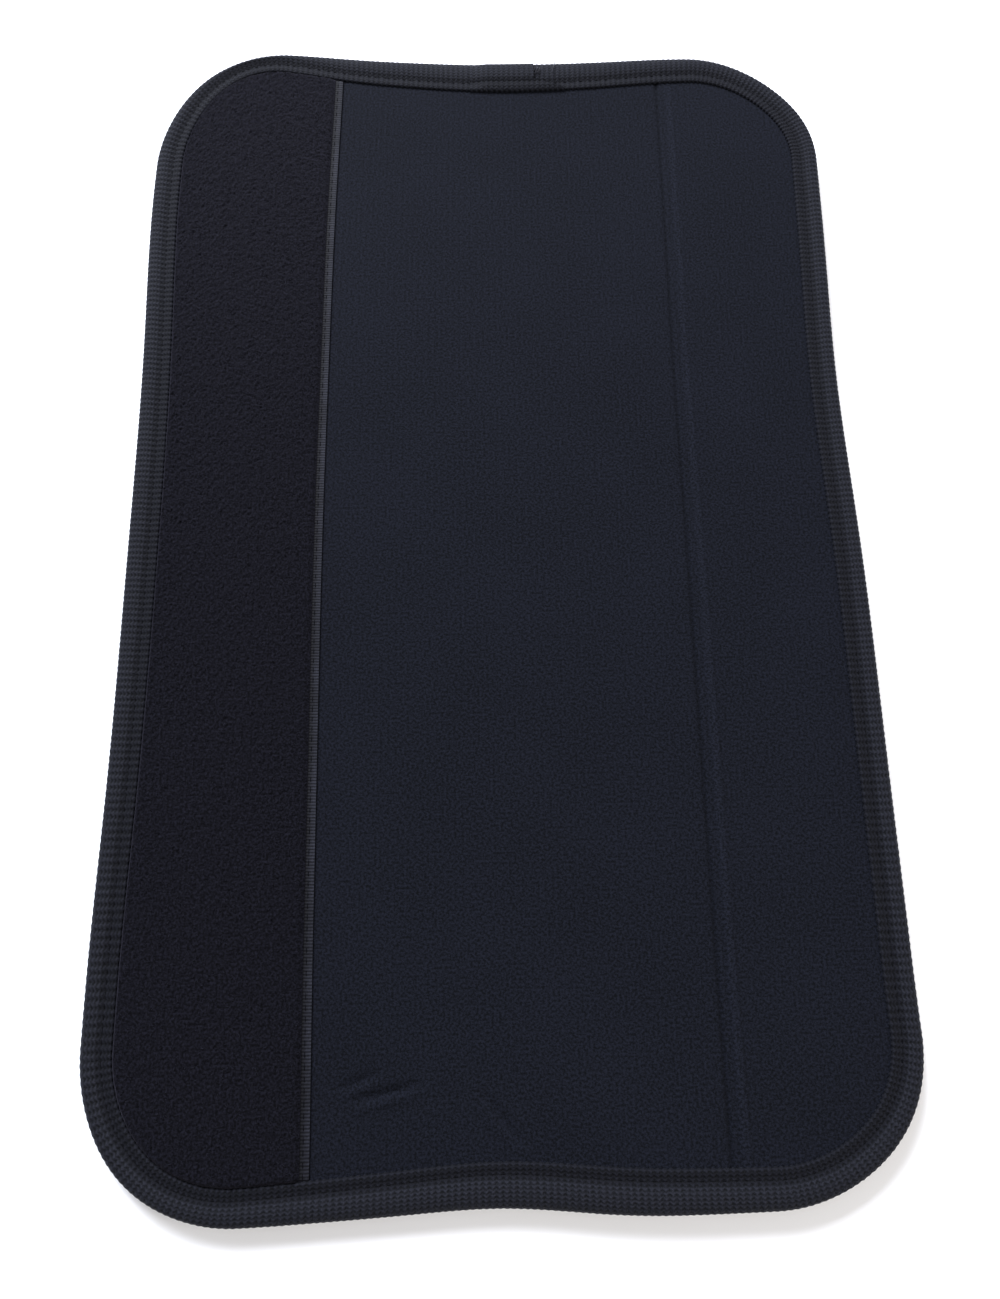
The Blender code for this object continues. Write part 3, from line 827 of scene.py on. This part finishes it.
# A smooth random surface with bumps of the given size, the same for every piece that reads it
def roughness(x, y, size):
    u, v = (x + 150) / size, (y + 200) / size
    i, j = np.floor(u).astype(int), np.floor(v).astype(int)
    shareU, shareV = u - i, v - j
    i, j = i % noiseCells, j % noiseCells
    shareU, shareV = shareU ** 2 * (3 - 2 * shareU), shareV ** 2 * (3 - 2 * shareV)
    near = noiseField[i, j] * (1 - shareU) + noiseField[i + 1, j] * shareU
    far = noiseField[i, j + 1] * (1 - shareU) + noiseField[i + 1, j + 1] * shareU
    return near * (1 - shareV) + far * shareV


def clearOfLip(x, y, low=-0.2, high=0.7):
    return step(edgeDistance(x, y) - lipAt(x, y), low, high)


def groundLow(x, y):
    return np.full(len(x), loopLook["groundLow"])


def groundTop(x, y):
    return loopLook["underLip"] + loopLook["groundRise"] * clearOfLip(x, y)


def pileLow(x, y):
    return groundTop(x, y) + 0.02


def pileTop(x, y):
    look = loopLook
    rough = look["clumpHeight"] * roughness(x, y, look["clump"]) * 0.5
    rough += look["grainHeight"] * roughness(x + 31, y + 17, look["grain"]) * 0.5
    inner = step(loopEdge - selvedgeLook["width"] - x, -0.1, 0.9)
    return groundTop(x, y) + 0.06 + clearOfLip(x, y) * (0.25 + inner * (look["pileRise"] - 0.25 + rough))


def selvedgeTop(x, y):
    picks = 0.06 * np.cos(2 * math.pi * y / selvedgeLook["pick"])
    cord = 0.06 * hump(x, loopEdge - 0.55, 0.42)
    return groundTop(x, y) + 0.05 + clearOfLip(x, y) * (0.10 + picks + cord)


def pileLoops(name, start, end):
    look = loopLook
    share = (end - start) / (loopEdge + halfWidth)
    count = int(look["loops"] * share)
    x = noise.uniform(start, end, count)
    y = noise.uniform(-halfLength, halfLength, count)
    keep = (edgeDistance(x, y) - lipAt(x, y) > 0.5) & (x < loopEdge - selvedgeLook["width"] - 0.1)
    x, y = x[keep], y[keep]
    turn = noise.uniform(0, 2 * math.pi, len(x))
    span = noise.uniform(0.35, 0.8, len(x))
    rise = noise.uniform(0.10, 0.34, len(x))
    lean = noise.normal(0, 0.22, (len(x), 2))
    places = np.array([-0.5, -0.38, 0.0, 0.38, 0.5])
    heights = np.array([-0.22, 0.55, 1.0, 0.55, -0.22])
    base = pileTop(x, y) - 0.05
    paths = np.stack([
        x[:, None] + np.cos(turn)[:, None] * span[:, None] * places + lean[:, :1] * heights,
        y[:, None] + np.sin(turn)[:, None] * span[:, None] * places + lean[:, 1:] * heights,
        base[:, None] + rise[:, None] * heights], axis=-1)
    points, faces = threadMesh(paths, look["loopWire"], 3)
    points = settle(points)
    return makePiece(name, points, faces, points[:, :2].copy(), cloths["fibres"])


# A row of stitches along Y at one x, with both ends of every stitch drawn into the cloth
def stitchRow(atX, firstY, lastY, stitch, dash, heights):
    begin = np.arange(firstY, lastY, stitch)
    along = begin[:, None] + np.linspace(0, dash, len(heights))[None, :]
    return np.stack([np.full(along.shape, atX), along, heights[None, :] + 0 * along], axis=-1)


pileEnd = loopEdge - selvedgeLook["width"] + 0.15
for name, start, end, bend, node in (("Outer", -halfWidth, centres[1], 0, "loop_tape_outer"),
                                     ("Inner", centres[1], loopEdge, 1, "loop_tape_inner")):
    look = loopLook
    ground = layerPiece(f"loopGround{name}", start, end, look["inset"], look["groundSpacing"],
                        groundLow, groundTop, cloths["ground"])
    pile = layerPiece(f"loopPile{name}", start, min(end, pileEnd), look["inset"], look["spacing"],
                      pileLow, pileTop, cloths["pile"])
    loops = pileLoops(f"loopFibres{name}", start, min(end, pileEnd))
    together = [pile, loops]
    if name == "Inner":
        selvedge = layerPiece("loopSelvedge", pileEnd + 0.05, loopEdge, look["inset"], 0.18,
                              pileLow, selvedgeTop, cloths["selvedge"])
        together.append(selvedge)
        heights = look["seamHeight"] + np.array([-0.16, -0.04, 0.0, -0.04, -0.16])
        reach = halfLength - look["endRoom"]
        row = stitchRow(loopEdge - look["seamIn"], -reach, reach, look["stitch"], look["dash"], heights)
        tapeSeam = stitchPiece("loopTapeSeam", row, look["seamWire"])
        blendOver(tapeSeam)
        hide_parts("loop_tape_stitch")
    for piece in [ground] + together:
        blendOver(piece)
        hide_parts(node)
print("loop tape made")


# The hook tape on the back, and the seam that holds it
hookLook = {
    "inset": 6.0, "spacing": 1.1, "groundLow": 0.74, "underLip": 0.31, "groundTop": 1.24, "cut": 0.312,
    "pitchX": 1.55, "pitchY": 1.30, "fromEdge": 0.8, "fromLip": 1.2, "fromSeam": 0.7, "wire": 0.085,
    "stitch": 2.4, "dash": 1.7, "frontHeight": 4.30, "backHeight": 0.66, "seamWire": 0.12,
}


def hookGroundLow(x, y):
    return hookLook["groundLow"] + hookLook["underLip"] * (1 - clearOfLip(x, y, 0.1, 0.9))


def hookGroundTop(x, y):
    return np.full(len(x), hookLook["groundTop"])


def hookField(name, start, end):
    look = hookLook
    x, y = np.meshgrid(np.arange(start + look["fromEdge"], end - 0.2, look["pitchX"]),
                       np.arange(-halfLength + 9, halfLength - 9, look["pitchY"]), indexing="ij")
    y = y + (np.arange(x.shape[0]) % 2)[:, None] * look["pitchY"] / 2
    x, y = x.ravel(), y.ravel()
    keep = (edgeDistance(x, y) - lipAt(x, y) > look["fromLip"]) & (np.abs(x - seamX) > look["fromSeam"])
    x, y = x[keep], y[keep]
    way = np.where(np.arange(len(x)) % 2, 1.0, -1.0)
    out = np.array([0.0, 0.0, 0.06, 0.26, 0.40])
    down = np.array([0.78, 0.42, 0.17, 0.10, 0.24])
    paths = np.stack([x[:, None] + 0 * out, y[:, None] + way[:, None] * out,
                      down[None, :] + 0 * x[:, None]], axis=-1)
    points, faces = threadMesh(paths, look["wire"], 3)
    return makePiece(name, settle(points), faces, points[:, :2].copy(), cloths["hooks"])


for name, start, end, bend, node in (("Inner", hookEdge, centres[6], 5, "hook_tape_inner"),
                                     ("Outer", centres[6], halfWidth, 6, "hook_tape_outer")):
    look = hookLook
    ground = layerPiece(f"hookGround{name}", start, end, look["inset"], look["spacing"],
                        hookGroundLow, hookGroundTop, cloths["ground"])
    hooks = hookField(f"hookRows{name}", start, end)
    for piece in (ground, hooks):
        blendOver(piece)
        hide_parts(node)

dip = np.array([-0.12, 0.02, 0.05, 0.02, -0.12])
hookRows = []
for heights in (hookLook["frontHeight"] + dip, hookLook["backHeight"] - dip):
    hookRows.append(stitchRow(seamX, -halfLength + 9.5, halfLength - 10.5, hookLook["stitch"],
                              hookLook["dash"], heights))
hookSeam = stitchPiece("hookTapeSeam", np.concatenate(hookRows), hookLook["seamWire"])
blendOver(hookSeam)
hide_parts("hook_tape_stitch")
print("hook tape made")


# Where the binding's end laps over its start: a tongue as wide as the binding, its far end cut on the slant
lapLook = {
    "from": -5.4, "to": 12.4, "slant": 11.6, "slantPart": 5.2, "outer": 0.9, "overhang": 0.15,
    "thick": 0.72, "edgePart": 0.22, "rise": 6.0, "gap": 0.06, "columns": 64, "rows": 0.24,
}


def lapPiece(name, fromX, toX):
    look = lapLook
    rows = int((look["to"] + look["slant"] - look["from"]) / look["rows"] / 2)
    share = np.linspace(0, 1, look["columns"])[None, :]
    along = np.linspace(0, 1, rows)[:, None]
    lipMean = lipAt(np.array([toX]), np.array([halfLength]))[0]
    reach = lipMean + look["overhang"]
    inward = (1 - share) * (reach - look["outer"])
    slant = look["slant"] * (1 - step(inward, 0, look["slantPart"]))
    end = toX + (slant if toX == look["to"] else 0 * slant)
    x = fromX + (end - fromX) * along
    lip = lipAt(x, np.full(x.shape, halfLength))
    inner = lip + look["overhang"]
    depth = look["outer"] + (inner - look["outer"]) * share
    fromEdge = inner - depth
    phase = ribPhase(sideRun / 2 + cornerRun + (cornerX - x) + sideRun / 2)
    rib = bindingLook["rib"] * 0.7 * np.cos(2 * math.pi * phase)
    base = frontHeight(lip - fromEdge, lip)
    grown = step(x, look["from"], look["from"] + look["rise"])
    grown = grown * (0.25 + 0.75 * step(depth, look["outer"], look["outer"] + 1.2))
    edge = look["edgePart"] + (1 - look["edgePart"]) * step(fromEdge, 0.3, 2.2)
    low = levels["faceTop"] + 0.28
    under = np.where(depth > lip, low, base + look["gap"])
    over = base + look["gap"] + 0.05 + look["thick"] * grown * edge + rib
    upper = np.maximum(over, under + 0.04)
    topPoints = np.stack([x, halfLength - depth, upper], axis=-1).reshape(-1, 3)
    lowPoints = np.stack([x, halfLength - depth, under], axis=-1).reshape(-1, 3)
    points, faces = closedLayer(settle(topPoints), settle(lowPoints), rows, look["columns"])
    cloth = np.stack([phase * tapeLook["wale"], fromEdge], axis=-1).reshape(-1, 2)
    return makePiece(name, points, faces[:, ::-1], np.tile(cloth, (2, 1)), cloths["binding"])


# A loose end of sewing thread hangs over the outer edge, and the seam is sewn back over itself beside it
tailPath = np.array([[(20.2, 157.2, 6.9), (20.9, 159.6, 7.1), (21.4, 162.0, 6.8), (22.0, 164.0, 6.0),
                      (23.0, 165.6, 4.8)]])
tackStitch = np.array([(11.6, 157.0, 6.72), (12.0, 157.6, 6.98), (12.3, 158.2, 7.02), (12.5, 158.8, 6.98),
                       (12.6, 159.3, 6.72)])
tackPaths = np.repeat(tackStitch[None], 6, axis=0)
tackPaths[:, :, 0] += 0.8 * np.arange(6)[:, None]
# every second stitch is shorter
tackPaths[1::2, 0, 1] += 0.3
tackPaths[1::2, -1, 1] -= 0.3
# Where the tongue ends, a dark thread lies along its slanted end: a painted shadow line, standing in for
# the shade the end casts on the tape
endIn = np.linspace(0.2, 7.2, 9)
endX = lapLook["to"] + lapLook["slant"] * (1 - step(endIn, 0, lapLook["slantPart"])) + 0.1
endLip = lipAt(endX, np.full(len(endIn), halfLength))
endHeight = frontHeight(endLip - endIn, endLip) + 0.18
endShadowThreadPath = np.stack([endX, halfLength - endLip + endIn, endHeight], axis=-1)[None]
lapParts = [
    (lapPiece("bindingLapStart", lapLook["from"], centres[4]), 3, "knit_binding"),
    (lapPiece("bindingLapEnd", centres[4], lapLook["to"]), 4, "knit_binding"),
    (stitchPiece("bindingLapEndShadowThread", endShadowThreadPath, 0.22), 4, "sewing_thread"),
    (stitchPiece("bindingThreadTail", tailPath, 0.12, cloths["looseThread"]), 4, "sewing_thread"),
    (stitchPiece("bindingBackstitch", tackPaths, 0.16, cloths["looseThread"]), 3, "sewing_thread"),
]
for piece, bend, slot in lapParts:
    blendOver(piece)
    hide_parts("binding_lap")
print("lap made")


# Camera, light and table
cameraLook = {"lens": 27.3, "elevation": 75.2, "roll": -0.97, "distance": 262.4, "aim": (1.1, -27.5, 3.0)}
elevation = math.radians(cameraLook["elevation"])
back = Vector((0, -math.cos(elevation), math.sin(elevation)))
cameraData = bpy.data.cameras.new("camera")
cameraData.lens = cameraLook["lens"]
cameraData.clip_start = 0.01
camera = bpy.data.objects.new("camera", cameraData)
bpy.context.scene.collection.objects.link(camera)
camera.rotation_mode = "QUATERNION"
camera.location = (Vector(cameraLook["aim"]) + back * cameraLook["distance"]) * metre
spin = Quaternion((0, 0, 1), math.radians(cameraLook["roll"]))
camera.rotation_quaternion = (-back).to_track_quat("-Z", "Y") @ spin
bpy.context.scene.camera = camera

lightLook = {
    "key": {"place": (-0.46, 1.035, 0.83), "size": 0.69, "power": 56.0, "colour": "#eef3ff"},
    "fill": {"place": (0.75, -0.30, 0.75), "size": 0.7, "power": 7.5, "colour": "#fff8f0"},
    "world": 0.48,
}
for name in ("key", "fill"):
    look = lightLook[name]
    data = bpy.data.lights.new(name, "AREA")
    data.size = look["size"]
    data.energy = look["power"]
    data.color = srgb(look["colour"])[:3]
    lamp = bpy.data.objects.new(name, data)
    lamp.location = look["place"]
    lamp.rotation_mode = "QUATERNION"
    lamp.rotation_quaternion = (-Vector(look["place"])).to_track_quat("-Z", "Y")
    bpy.context.scene.collection.objects.link(lamp)
world = bpy.data.worlds.new("studio")
world.use_nodes = True
world.node_tree.nodes["Background"].inputs["Color"].default_value = srgb("#f6f8ff")
world.node_tree.nodes["Background"].inputs["Strength"].default_value = lightLook["world"]
bpy.context.scene.world = world
bpy.context.scene.view_settings.view_transform = "Standard"

floorMesh = bpy.data.meshes.new("floor")
floorMesh.from_pydata([(-3, -3, 0), (3, -3, 0), (3, 3, 0), (-3, 3, 0)], [], [(0, 1, 2, 3)])
floor = bpy.data.objects.new("floor", floorMesh)
bpy.context.scene.collection.objects.link(floor)
# Melamine table top, laminated: plain white and nearly matt
tableTop, tree, shader = newMaterial("melamineLaminated", {
    "Base Color": srgb("#f4f4f4"), "Roughness": 0.6, "Specular IOR Level": 0.2})
floorMesh.materials.append(tableTop)
print("stage made")
